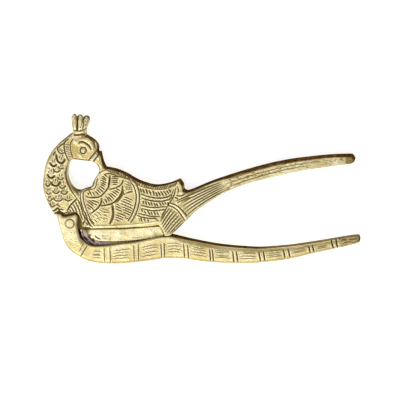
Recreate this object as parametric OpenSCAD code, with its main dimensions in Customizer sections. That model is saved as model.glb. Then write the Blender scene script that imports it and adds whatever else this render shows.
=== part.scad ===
// Betel nut cutter in cast brass: two levers on one riveted pivot, lying flat.
// The upper lever is a peacock that looks back over its wing, with its tail as the handle.
// A steel blade in the bird's jaw plate shears down into a channel in the lower lever.
// Outlines are drawn in millimetres from the pivot: X runs to the handles, Y to the crest.

/* [Castings] */
// Thickness of both levers, from the flat underside to the top
body_t = 9.2; // [8:0.1:12]
// How far the edges of both levers are eased
edge_ease = 1.0; // [0.4:0.1:1.4]
// Thickness of the crest on the bird's head
crest_t = 6.4; // [4:0.1:7.4]
// How far the edges of the crest are eased
crest_ease = 0.6; // [0.2:0.1:0.8]
// Reach of the handles past the jaws
handle_l = 114; // [90:1:140]
// Height of the bird's eye above the pivot
head_y = 45; // [43:1:50]

/* [Pivot] */
// Radius of the pivot pin's shank
pin_r = 1.9; // [1.4:0.05:2.1]
// Radius of the pin's two peened heads
head_r = 2.4; // [2.2:0.05:2.7]
// Thickness of each peened head
head_t = 0.6; // [0.4:0.05:1]
// Width of the bare groove round each head
head_groove = 0.5; // [0.2:0.05:0.7]
// How far each head stays below the face of its cheek
head_sink = 0.1; // [0.05:0.05:0.2]
// Radial running clearance between the pin and the upper lever
pin_run = 0.05; // [0.02:0.01:0.1]
// How far the upper lever opens, in degrees
open_deg = 32; // [20:1:34]

/* [Fork and channel] */
// Width of the slot between the two cheeks, and of the blade channel
slot_w = 4.8; // [4:0.1:5.4]
// Gap on each side of the upper lever's plate in the slot
side_gap = 0.3; // [0.1:0.05:0.5]
// Gap between the cutting edge and the channel's floor when closed
floor_gap = 0.6; // [0.3:0.1:1.5]
// Gap between the tail's foot and the lower lever when closed
stop_gap = 0.3; // [0.1:0.05:0.5]
// Gap that the turning shoulder of the bird keeps from the cheek's ear
swing_gap = 0.5; // [0.4:0.1:1]

/* [Blade] */
// Thickness of the steel blade
blade_t = 2; // [1.2:0.1:2.4]
// Thickness left at the cutting edge
edge_t = 0.4; // [0.2:0.1:0.8]
// Height of the ground bevel above the cutting edge
bevel_h = 2.6; // [1.5:0.1:4]
// Clearance round the blade in its pocket
blade_fit = 0.02; // [0.01:0.01:0.05]
// Radius of the two rivets that hold the blade
rivet_r = 1; // [0.7:0.1:1.5]
// Clearance round the rivets, and round the pin where it is fixed in the cheeks
rivet_fit = 0.02; // [0.01:0.01:0.05]
// How far the rivets' ends stay below the chased faces
rivet_sink = 0.4; // [0.2:0.1:0.8]

/* [Hidden] */
$fn = 64;
brass = [0.79, 0.69, 0.42];
pale_brass = [0.84, 0.75, 0.5];
steel = [0.5, 0.48, 0.5];

// Smallest overlap that joins or clears two cuts
lap = 0.5;
// Points that a curve gets between two drawn points
curve_steps = 4;
mid_z = body_t / 2;
plate_t = slot_w - 2 * side_gap;
head_z = body_t - head_sink - head_t;

function unit(v) = v / norm(v);
function at_angle(r, a) = r * [cos(a), sin(a)];

// Smooth curve through the points p, without its last point
function curve(p, n = curve_steps) = [
    for (i = [0:len(p) - 2], j = [0:n - 1])
    let (t = j / n, a = p[max(i - 1, 0)], b = p[i], c = p[i + 1], d = p[min(i + 2, len(p) - 1)])
    (2 * b + (c - a) * t + (2 * a - 5 * b + 4 * c - d) * t * t + (3 * b - a - 3 * c + d) * t * t * t) / 2
];

// Closed smooth curve through the points p
function loop(p, n = curve_steps) = [
    for (i = [0:len(p) - 1], j = [0:n - 1])
    let (k = len(p), t = j / n, a = p[(i + k - 1) % k], b = p[i], c = p[(i + 1) % k], d = p[(i + 2) % k])
    (2 * b + (c - a) * t + (2 * a - 5 * b + 4 * c - d) * t * t + (3 * b - a - 3 * c + d) * t * t * t) / 2
];

// Distance from point q to the segment from a to b
function segment_gap(q, a, b) =
    let (t = max(0, min(1, (q - a) * (b - a) / ((b - a) * (b - a)))))
    norm(q - a - t * (b - a));
function outline_gap(q, p) = min([for (i = [0:len(p) - 1]) segment_gap(q, p[i], p[(i + 1) % len(p)])]);

// Each point of the counterclockwise outline p, moved in by d, or out where d is negative
function shifted(p, d) = [
    for (i = [0:len(p) - 1])
    let (k = len(p), a = unit(p[i] - p[(i + k - 1) % k]), b = unit(p[(i + 1) % k] - p[i]))
    let (na = [-a[1], a[0]], m = unit(na + [-b[1], b[0]]))
    p[i] + m * d / max(0.6, m * na)
];

// Outline p drawn in by d, without the points that a tight corner pushes too near its other side
function inset(p, d) = [for (q = shifted(p, d)) if (outline_gap(q, p) > 0.97 * d - 0.01) q];

// Where the handles start, and a point on a handle at a share s of their reach
handle_x = 61;
function on_handle(s, y) = [handle_x + s * handle_l, y];
function handle_points(p) = [for (q = p) on_handle(q[0], q[1])];

// Points of the head, each at a height y from the bird's eye
function head_points(p) = [for (q = p) [q[0], head_y + q[1]]];

// The ear is the pointed corner of each cheek. The bird's shoulder turns just outside it.
ear = [-7.5, 6.1];
shoulder_r = norm(ear) + swing_gap;
shoulder_start = 150;
shoulder_end = atan2(ear[1], ear[0]) - open_deg - 3;
shoulder_steps = 8;

// Top of the lower lever under the tail's foot
stop_y = -7.9;
foot_y = stop_y + stop_gap;

lower_outline = concat(
    curve([[-7.6, 3.6], [-7.2, 0.3], [-6.3, -2.5], [-5.6, -5.4], [-4.2, -11.1], [-2.5, -14.9],
        [0.2, -17.8], [5.1, -21.2], [10.1, -23.5], [16.3, -24.8], [25.7, -25.3], [38.2, -24.5],
        [48.8, -23.1], [57, -21.9], on_handle(0.06, -21.9), on_handle(0.15, -23.3),
        on_handle(0.26, -24.5), on_handle(0.38, -24.8), on_handle(0.49, -24.1), on_handle(0.63, -21.9),
        on_handle(0.75, -18.6), on_handle(0.86, -15.8), on_handle(0.985, -12.3)]),
    curve([on_handle(0.985, -12.3), on_handle(0.999, -11.2), on_handle(1, -9.6), on_handle(0.995, -7.8)]),
    curve([on_handle(0.995, -7.8), on_handle(0.95, -8.3), on_handle(0.86, -10),
        on_handle(0.75, -12.1), on_handle(0.63, -14.1), on_handle(0.52, -15.2), on_handle(0.46, -15.5),
        on_handle(0.38, -15), on_handle(0.28, -14), on_handle(0.19, -12.4), on_handle(0.1, -10.3),
        on_handle(0.04, -8.8), [handle_x, stop_y], [58, stop_y - 0.1], [53.5, -8.5], [45.6, -10.2],
        [38, -11.7], [32, -12.4], [24, -13.5], [18, -13.9], [14.5, -14]]),
    curve([[14.5, -14], [11.6, -13.3], [8.7, -11.5], [6.2, -9.2], [5.4, -7.1], [4.8, -4.6], [4.4, -1],
        [4.7, 1.3], [4.9, 3.7], [4.5, 5.1], [3.1, 5.7], [1.5, 5.1], [-1.2, 4.5], [-3.8, 4.3],
        [-5.6, 6], ear]),
    [ear]
);

bird_outline = concat(
    curve([[8.6, -2.8], [12, -3], [18, -2.9], [32, -2.6], [40, -2.1], [47.4, -1.8], [54.2, -0.8]]),
    curve([[54.2, -0.8], [56, -3], [57, -5.4], [57.6, foot_y]]),
    curve(concat([[57.6, foot_y], [handle_x, foot_y + 0.3]],
        handle_points([[0.03, -4.3], [0.06, -1.1], [0.1, 3.2], [0.15, 8.5], [0.22, 13.8], [0.3, 19.1],
            [0.41, 24.2], [0.53, 27.8], [0.64, 30.7], [0.75, 33.1], [0.87, 35], [0.965, 36.5]]))),
    curve(handle_points([[0.965, 36.5], [0.981, 38.2], [0.966, 41.1]])),
    curve(handle_points([[0.966, 41.1], [0.87, 40.9], [0.75, 39.6], [0.64, 38], [0.53, 35.5],
        [0.41, 31.8], [0.29, 27.5], [0.21, 24.3], [0.13, 20.4], [0.094, 19]])),
    curve([on_handle(0.094, 19), [69.6, 20], [69.3, 23], [67.3, 26.3]]),
    curve([[67.3, 26.3], [61.3, 23.9], [54.7, 22.6], [49.4, 23], [41.5, 25.8], [35, 29.7],
        [28.5, 32.4], [22.6, 33.6]]),
    curve(concat([[22.6, 33.6], [21.4, 36.5], [20.6, 40.3]], head_points([[20, -1.8]]))),
    head_points([[20, -1.8]]),
    curve(concat(
        head_points([[18.4, -1.6], [18.5, 2], [17, 4.7], [14.3, 6.8], [11.2, 8.6], [7.5, 10], [3, 9.7],
            [-2.1, 6.2], [-6.8, 2.3]]),
        [[-10.7, 42.4], [-13.1, 37.4], [-14.8, 32.2], [-15.7, 26.5], [-15.9, 22.8], [-15.1, 18.1],
            [-13.3, 12.8], [-10.9, 8.2], [-9.4, 5.3]])),
    [for (i = [0:shoulder_steps])
        at_angle(shoulder_r, shoulder_start + (shoulder_end - shoulder_start) * i / shoulder_steps)],
    curve([[-1.2, 7.7], [1, 7], [4.6, 6.8], [6.6, 3.4], [8.6, -2.8]])
);

// Loop between the neck, the head, the beak and the wing
neck_loop = loop(concat(head_points([[3, -5.7]]),
    [[1, 37.4], [-0.4, 34.2], [-1.1, 29.7], [0, 24.6], [2.2, 21.2], [5.9, 19.4], [9.6, 20.6],
        [13.6, 21.9], [15.2, 25.4], [17, 28.5], [19.2, 32], [18.6, 35]],
    head_points([[15.8, -7.2], [9.8, -6.5]])));

crest_outline = concat(
    curve(head_points([[3.9, 8.8], [11.5, 8.8]])),
    curve(head_points([[11.5, 8.8], [11.6, 11.8], [13.4, 16.5], [13.7, 18.8], [12.5, 20.2], [10.6, 20],
        [9.8, 19.1]])),
    curve(head_points([[9.8, 19.1], [9, 20.4], [7.7, 20.9], [6.5, 20.4], [5.9, 19.3]])),
    curve(head_points([[5.9, 19.3], [5.4, 20.8], [4.2, 21.3], [3.2, 20.1], [3.2, 16.5], [3.8, 12],
        [3.9, 8.8]]))
);

// Lug round the pivot, running on as the smooth jaw plate under the wing
lug_r = 5.8;
plate_outline = concat(
    curve([[-8.7, 3.2], [-7, 0.2], at_angle(lug_r, 205)]),
    [for (a = [205:12:301]) at_angle(lug_r, a)],
    curve([[5.6, -4.4], [8.7, -4.9], [9.6, -6.8], [11.8, -9.5], [14.4, -11.1], [18.5, -11.9], [27, -12.1],
        [33.3, -11.8], [40, -11.4], [50, -10.6], [57.2, -10]]),
    [[57.2, -10], [57.2, -4.5], [55, -0.5], [45, 1], [9, 2], [6, 8], [-3, 12], [-9.6, 9]]
);

// The cutting edge is a straight line from heel to toe
edge_heel = [12, -17.4];
edge_toe = [57, -12.9];
edge_dir = unit(edge_toe - edge_heel);
edge_side = [edge_dir[1], -edge_dir[0]];
blade_outline = concat(
    curve([[7, -3.4], [6.2, -6.3], [7.1, -9.8], [9.1, -13], edge_heel]),
    [edge_heel, edge_toe],
    curve([[57, -8.5], [56, -4.5], [53, 1.6]]),
    [[53, 1.6], [9.8, 1.6]]
);
blade_rivet_at = [[20, -0.6], [46, -0.2]];

// Straight floor of the channel, under the cutting edge
channel_end_x = 58.7;
function on_floor(x) = edge_heel + edge_side * floor_gap + edge_dir * (x - edge_heel[0]) / edge_dir[0];
web_y = -(lug_r + 2.2);
slot_outline = [
    [-20, web_y], [-1, web_y], [3.5, -9.6], [6, -13], on_floor(8.2), on_floor(channel_end_x),
    [channel_end_x, 10], [-20, 10]
];

// Puts a piece drawn from the pivot where the whole part is centred over its own origin
all_points = concat(lower_outline, bird_outline, crest_outline);
all_x = [for (p = all_points) p[0]];
all_y = [for (p = all_points) p[1]];
module place() {
    translate([-(min(all_x) + max(all_x)) / 2, -(min(all_y) + max(all_y)) / 2, 0])
        children();
}

// Extrusion of an outline, centred on the levers' middle plane
module slab(outline, t) {
    translate([0, 0, mid_z])
        linear_extrude(t, center = true)
            polygon(outline);
}

// Slab with rounded edges, as a stack of three layers
module eased_slab(outline, t, ease) {
    for (a = [0:45:90])
        slab(inset(outline, ease * (1 - cos(a))), t - 2 * ease * (1 - sin(a)));
}

// Cylinder through the whole thickness and past both faces
module through(r) {
    translate([0, 0, -lap])
        cylinder(h = body_t + 2 * lap, r = r);
}

// Children on the top face, and again turned over on the underside
module both_faces() {
    children();
    translate([0, 0, body_t])
        mirror([0, 0, 1])
            children();
}

module lower_lever() {
    color(brass)
        place()
            difference() {
                eased_slab(lower_outline, body_t, edge_ease);
                slab(slot_outline, slot_w);
                through(pin_r + rivet_fit);
                both_faces()
                    translate([0, 0, head_z])
                        cylinder(h = body_t, r = head_r + head_groove);
            }
}

module peacock_lever() {
    color(pale_brass)
        place()
            difference() {
                union() {
                    eased_slab(bird_outline, body_t, edge_ease);
                    eased_slab(crest_outline, crest_t, crest_ease);
                    slab(plate_outline, plate_t);
                }
                slab(neck_loop, body_t + 2 * lap);
                slab(shifted(blade_outline, -blade_fit), blade_t + 2 * blade_fit);
                through(pin_r + pin_run);
                for (p = blade_rivet_at)
                    translate(p)
                        through(rivet_r + rivet_fit);
            }
}

// Cross-section of the blade above its edge: thickness across, height up
module blade_section() {
    tall = 30;
    polygon([
        [-edge_t / 2, 0], [edge_t / 2, 0], [blade_t / 2, bevel_h], [blade_t / 2, tall],
        [-blade_t / 2, tall], [-blade_t / 2, bevel_h]
    ]);
}

module cutting_blade() {
    // Ground stock past each end of the edge, for the outline to cut off
    past = 10;
    color(steel)
        place()
            difference() {
                intersection() {
                    slab(blade_outline, blade_t);
                    translate([edge_heel[0], edge_heel[1], mid_z] - past * [edge_dir[0], edge_dir[1], 0])
                        rotate([0, 0, atan2(edge_dir[1], edge_dir[0])])
                            rotate([0, 90, 0])
                                linear_extrude(norm(edge_toe - edge_heel) + 2 * past)
                                    blade_section();
                }
                for (p = blade_rivet_at)
                    translate(p)
                        through(rivet_r + rivet_fit);
            }
}

module blade_rivets() {
    color(brass)
        place()
            for (p = blade_rivet_at)
                translate([p[0], p[1], rivet_sink])
                    cylinder(h = body_t - 2 * rivet_sink, r = rivet_r);
}

// Shank with a peened head at each end, seated in the cheeks' recesses
module pivot_pin() {
    crown = 0.25;
    color(pale_brass)
        place()
            union() {
                translate([0, 0, head_sink + lap / 2])
                    cylinder(h = body_t - 2 * head_sink - lap, r = pin_r);
                both_faces()
                    translate([0, 0, head_z])
                        rotate_extrude()
                            polygon([[0, 0], [head_r, 0], [head_r, head_t - crown],
                                [head_r - crown, head_t], [0, head_t]]);
            }
}

lower_lever();
peacock_lever();
cutting_blade();
blade_rivets();
pivot_pin();
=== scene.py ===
"""Betel nut cutter in cast brass, closed, as in the photograph.

Lengths are millimetres from the pivot until metres() turns them into the row frame. Chased lines are
drawn where the photograph shows them: near_face() carries a point of the 400 x 400 picture to the top face.
"""

import math

import bpy
import numpy as np
from mathutils import Matrix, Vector
from mathutils.geometry import delaunay_2d_cdt
from mathutils.kdtree import KDTree


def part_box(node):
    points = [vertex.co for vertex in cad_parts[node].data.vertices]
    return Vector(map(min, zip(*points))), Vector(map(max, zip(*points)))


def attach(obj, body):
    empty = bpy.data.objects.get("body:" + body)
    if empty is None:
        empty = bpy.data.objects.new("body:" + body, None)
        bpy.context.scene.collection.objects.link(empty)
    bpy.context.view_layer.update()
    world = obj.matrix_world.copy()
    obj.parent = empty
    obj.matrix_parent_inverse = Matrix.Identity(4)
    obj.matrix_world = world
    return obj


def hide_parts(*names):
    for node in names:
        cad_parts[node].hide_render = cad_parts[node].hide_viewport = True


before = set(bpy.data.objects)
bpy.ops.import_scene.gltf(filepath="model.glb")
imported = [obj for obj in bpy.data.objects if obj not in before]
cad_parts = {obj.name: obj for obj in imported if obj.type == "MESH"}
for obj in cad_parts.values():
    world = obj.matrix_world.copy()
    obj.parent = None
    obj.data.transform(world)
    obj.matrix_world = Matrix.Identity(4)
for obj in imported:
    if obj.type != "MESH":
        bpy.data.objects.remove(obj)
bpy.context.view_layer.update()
rng = np.random.default_rng(7)

# Main sizes of the castings, the same as in the CAD
TOP = 9.2
CREST_TOP = 7.8
PLATE_TOP = 6.7
SLOT_TOP = 7.0
HEAD_SEAT = 8.5
RECESS_R = 2.9

pin_low, pin_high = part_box("pivot_pin")
PIVOT = np.array([(pin_low.x + pin_high.x) / 2, (pin_low.y + pin_high.y) / 2]) * 1000


def metres(p):
    """Points in mm from the pivot, x y z, in the row frame in metres."""
    p = np.array(p, float)
    p[:, :2] += PIVOT
    return p / 1000


# Camera: tilts of the view off the top face, distance, and where the picture shows the pivot
TILT_X, TILT_Y = math.radians(8), math.radians(12)
DISTANCE = 1500.0
MM_PER_PIXEL = 0.6
SENSOR = 36.0
PICTURE = 400
PIVOT_SEEN = (69.9, 223.5)
PIVOT_Z = 8.6
FACE_Z = 9.0

VIEW = np.array([math.sin(TILT_X) * math.cos(TILT_Y), math.sin(TILT_Y), math.cos(TILT_X) * math.cos(TILT_Y)])
RIGHT = np.array([1.0, 0, 0]) - VIEW[0] * VIEW
RIGHT /= np.linalg.norm(RIGHT)
UP = np.cross(VIEW, RIGHT)
FOCAL = DISTANCE / MM_PER_PIXEL


def aim():
    """Point in mm that the camera looks at, so that the pivot shows at PIVOT_SEEN."""
    target = np.array([78.0, 14.0, 5.0])
    pivot = np.array([0, 0, PIVOT_Z])
    for _ in range(60):
        ray = pivot - target - VIEW * DISTANCE
        depth = -ray @ VIEW
        target[0] += (PICTURE / 2 + FOCAL * (ray @ RIGHT) / depth - PIVOT_SEEN[0]) * MM_PER_PIXEL
        target[1] -= (PICTURE / 2 - FOCAL * (ray @ UP) / depth - PIVOT_SEEN[1]) * MM_PER_PIXEL
    return target


TARGET = aim()
EYE = TARGET + VIEW * DISTANCE


def near_face(points, z=FACE_Z):
    """Points of the picture as mm on the plane z of the part."""
    p = np.atleast_2d(np.array(points, float))
    ray = -VIEW * FOCAL + (p[:, :1] - PICTURE / 2) * RIGHT + (PICTURE / 2 - p[:, 1:2]) * UP
    t = (z - EYE[2]) / ray[:, 2]
    return (EYE + ray * t[:, None])[:, :2]


def picture(text):
    """Picture points from a text of x y numbers."""
    n = [float(v) for v in text.split()]
    return list(zip(n[::2], n[1::2]))


def couples(text):
    """Picture points from a text, two by two."""
    p = picture(text)
    return list(zip(p[::2], p[1::2]))


def table(text):
    """(kind, numbers, picture points) of each stroke: semicolons part the rows, commas what shares a head."""
    for row in text.split(";"):
        head, _, strokes = row.partition(":")
        words = head.split()
        kind = words.pop(0) if words[0].isalpha() else ""
        for points in strokes.split(","):
            yield kind, [float(w) for w in words], picture(points)


def lengths(line):
    """Length along a line up to each of its points."""
    return np.concatenate([[0], np.cumsum(np.linalg.norm(np.diff(line, axis=0), axis=1))])


def unit(v):
    return v / np.maximum(np.linalg.norm(v, axis=1, keepdims=True), 1e-9)


def tree_of(points):
    tree = KDTree(len(points))
    for k, p in enumerate(points):
        tree.insert((p[0], p[1], 0), k)
    tree.balance()
    return tree


def curve(points, n=6):
    """Smooth curve through the points."""
    p = np.array(points, float)
    if len(p) < 3:
        return np.linspace(p[0], p[-1], n + 1)
    p = np.vstack([2 * p[0] - p[1], p, 2 * p[-1] - p[-2]])
    out = []
    for a, b, c, d in zip(p[:-3], p[1:-2], p[2:-1], p[3:]):
        for t in np.arange(n) / n:
            out.append((2 * b + (c - a) * t + (2 * a - 5 * b + 4 * c - d) * t * t
                        + (3 * b - a - 3 * c + d) * t ** 3) / 2)
    out.append(p[-2])
    return np.array(out)


def resample(line, step, closed=False):
    """The line with its points an even step apart."""
    p = np.vstack([line, line[:1]]) if closed else np.array(line)
    run = lengths(p)
    count = max(2, int(round(run[-1] / step)))
    at = np.linspace(0, run[-1], count + 1)
    q = np.column_stack([np.interp(at, run, p[:, k]) for k in (0, 1)])
    return q[:-1] if closed else q


def at_share(line, share):
    """Points at shares 0 to 1 of a line's length."""
    run = lengths(line)
    at = np.asarray(share) * run[-1]
    return np.column_stack([np.interp(at, run, line[:, k]) for k in (0, 1)])


def beside(line, gap):
    """The line moved sideways by gap, to its left in the picture's sense of travel."""
    t = unit(np.gradient(line, axis=0))
    return line + gap * np.column_stack([t[:, 1], -t[:, 0]])


def smooth(x, low, high):
    t = np.clip((x - low) / (high - low), 0, 1)
    return t * t * (3 - 2 * t)


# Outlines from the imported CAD


def section(node, z):
    """Closed loops where the plane z, in mm, cuts a CAD node, largest first, in mm from the pivot."""
    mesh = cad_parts[node].data
    mesh.calc_loop_triangles()
    co = np.array([v.co for v in mesh.vertices]) * 1000
    tri = np.array([t.vertices for t in mesh.loop_triangles])
    above = co[:, 2] > z
    side = above[tri].sum(1)
    links = {}
    spots = {}
    for t in tri[(side == 1) | (side == 2)]:
        ends = []
        for a, b in ((t[0], t[1]), (t[1], t[2]), (t[2], t[0])):
            if above[a] != above[b]:
                s = (z - co[a, 2]) / (co[b, 2] - co[a, 2])
                p = co[a, :2] + s * (co[b, :2] - co[a, :2]) - PIVOT
                key = tuple(np.round(p, 3))
                spots[key] = p
                ends.append(key)
        if ends[0] != ends[1]:
            links.setdefault(ends[0], []).append(ends[1])
            links.setdefault(ends[1], []).append(ends[0])
    loops = []
    unseen = set(links)
    while unseen:
        here = min(unseen)
        chain = [here]
        unseen.discard(here)
        while True:
            on = [k for k in links[here] if k in unseen]
            if not on:
                break
            here = on[0]
            unseen.discard(here)
            chain.append(here)
        loops.append(np.array([spots[k] for k in chain]))
    return sorted(loops, key=lambda p: -abs(area(p)))


def area(p):
    x, y = p[:, 0], p[:, 1]
    return (x * np.roll(y, -1) - y * np.roll(x, -1)).sum() / 2


class Rim:
    """Distance from points to closed loops: above 0 inside the first loop and outside the others."""

    def __init__(self, loops):
        turned = [p if (area(p) > 0) == (k == 0) else p[::-1] for k, p in enumerate(loops)]
        self.at = np.vstack(turned)
        self.next = np.concatenate([np.roll(np.arange(len(p)), -1) + sum(len(q) for q in turned[:k])
                                    for k, p in enumerate(turned)])
        self.last = np.argsort(self.next)
        along = unit(self.at[self.next] - self.at)
        self.inward = np.column_stack([-along[:, 1], along[:, 0]])
        self.corner = self.inward + self.inward[self.last]
        self.tree = tree_of(self.at)

    def gap(self, points):
        k = np.array([self.tree.find((x, y, 0))[1] for x, y in points], int)
        best = np.full(len(points), np.inf)
        sign = np.ones(len(points))
        for i in (k, self.last[k]):
            a, b = self.at[i], self.at[self.next[i]]
            d = b - a
            t = ((points - a) * d).sum(1) / np.maximum((d * d).sum(1), 1e-12)
            held = np.clip(t, 0, 1)
            off = points - a - held[:, None] * d
            gap = np.linalg.norm(off, axis=1)
            normal = np.where((t == held)[:, None], self.inward[i],
                              np.where((t < 0)[:, None], self.corner[i], self.corner[self.next[i]]))
            closer = gap < best
            best = np.where(closer, gap, best)
            sign = np.where(closer, np.where((off * normal).sum(1) >= 0, 1.0, -1.0), sign)
        return best * sign


def gap_to_line(points, line):
    """Distance from each point to an open line with close points."""
    tree = tree_of(line)
    return np.array([tree.find((x, y, 0))[2] for x, y in points])


# Chased work: each stroke is a line with a half width, a height (below 0 for a cut) and a darkness.
# A cut pushes up a lip beside it, that far out in half widths, and a step lifts the face on its left.
LIP_REACH, LIP_H, STEP_REACH = 2.4, 0.12, 1.5
# How near a stroke has to be in mm for the mesh to be fine there
FINE_REACH = 0.6


class Chasing:
    def __init__(self):
        self.strokes = []

    def add(self, line, half, height, ink, ends=0.5, step=0.0):
        self.strokes.append((np.array(line, float), half, height, ink, ends, step))

    def cut(self, points, half=0.36, depth=0.4, ink=0.9, ends=0.5, step=0.0):
        """A cut along picture points. A step raises the face on its left."""
        self.add(near_face(curve(points)), half, -depth, ink, ends, step)

    def bead(self, points, half=0.6, height=0.2):
        self.add(near_face(curve(points)), half, height, 0, 0.8)

    def draw(self, text):
        """The cuts, beads and ribs of a table."""
        for kind, numbers, points in table(text):
            getattr(self, kind)(points, *numbers)

    def rule(self, line_a, line_b, count, half, depth, ink, wobble):
        """Cuts from one picture line to another, at even shares of both."""
        a, b = curve(line_a), curve(line_b)
        share = np.linspace(0, 1, count) + rng.normal(0, 0.1 / max(count, 4), count)
        for p, q in zip(at_share(a, np.clip(share, 0, 1)), at_share(b, np.clip(share, 0, 1))):
            p = p + rng.normal(0, wobble, 2)
            q = q + rng.normal(0, wobble, 2)
            weight = rng.uniform(0.75, 1.1)
            self.add(near_face([p, (p + q) / 2, q]), half, -depth * weight, ink * weight, 0.45)

    def ribs(self, ends, half=0.4, depth=0.45, ink=0.84):
        """Short cuts, each from one picture point to the next."""
        for pair in zip(ends[::2], ends[1::2]):
            self.cut(pair, half, depth, ink * rng.uniform(0.85, 1.1))

    def close_to(self, points, reach):
        """For each stroke: its data, the points within reach, their gap, share and side."""
        order = np.argsort(points[:, 0])
        xs = points[order, 0]
        for stroke in self.strokes:
            line = stroke[0]
            far = reach(stroke)
            low, high = line.min(0) - far, line.max(0) + far
            i = order[np.searchsorted(xs, low[0]):np.searchsorted(xs, high[0])]
            i = i[(points[i, 1] > low[1]) & (points[i, 1] < high[1])]
            if not len(i):
                continue
            a, d = line[:-1], np.diff(line, axis=0)
            length = np.linalg.norm(d, axis=1)
            p = points[i, None]
            t = np.clip(((p - a) * d).sum(2) / np.maximum(length ** 2, 1e-12), 0, 1)
            foot = a + t[..., None] * d
            gap = np.sqrt(((p - foot) ** 2).sum(2))
            k = gap.argmin(1)
            rows = np.arange(len(i))
            run = np.concatenate([[0], np.cumsum(length)])
            share = (run[k] + t[rows, k] * length[k]) / run[-1]
            off = points[i] - foot[rows, k]
            left = d[k, 0] * off[:, 1] - d[k, 1] * off[:, 0] > 0
            yield stroke, i, gap[rows, k], share, left, foot[rows, k]

    def apply(self, points):
        """(raised, cut, ink, worn) at each point: heights, darkness, and how pale it is: rubbed pale by hands,
        and on the blade painted pale as highlights.
        """
        raised, cut, ink, worn = np.zeros((4, len(points)))
        for stroke, i, gap, share, left, _ in self.close_to(
                points, lambda s: max(LIP_REACH * s[1], STEP_REACH if s[5] else 0)):
            _, half, height, dark, ends, step = stroke
            at_end = np.minimum(share, 1 - share)
            fade = ends + (1 - ends) * np.clip(5 * at_end, 0, 1)
            shape = np.clip(1 - (gap / half) ** 2, 0, 1) ** 1.5 * fade
            if height > 0:
                raised[i] = np.maximum(raised[i], height * shape)
                worn[i] = np.maximum(worn[i], 0.6 * shape)
            else:
                cut[i] = np.maximum(cut[i], -height * shape)
                lip = np.clip(1 - np.abs(gap / half - 1.55) / 0.8, 0, 1) * fade * min(1, -height / 0.3)
                raised[i] = np.maximum(raised[i], LIP_H * lip)
                worn[i] = np.maximum(worn[i], lip)
            ink[i] = np.maximum(ink[i], dark * np.clip(1 - (gap / (1.15 * half)) ** 2, 0, 1) ** 0.8 * fade)
            if step:
                lift = np.clip(1 - gap / STEP_REACH, 0, 1) * np.clip(4 * at_end, 0, 1) * left
                raised[i] = np.maximum(raised[i], step * lift)
                worn[i] = np.maximum(worn[i], 0.9 * lift)
        return raised, cut, ink, worn * (1 - np.clip(ink, 0, 1))

    def snap(self, points, near):
        """(points moved onto the nearest stroke where it is near, distance to it up to FINE_REACH)."""
        out = points.copy()
        best = np.full(len(points), FINE_REACH)
        for _, i, gap, _, _, foot in self.close_to(points, lambda s: FINE_REACH):
            closer = gap < best[i]
            best[i[closer]] = gap[closer]
            held = closer & (gap < near)
            out[i[held]] = foot[held]
        return out, best


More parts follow.
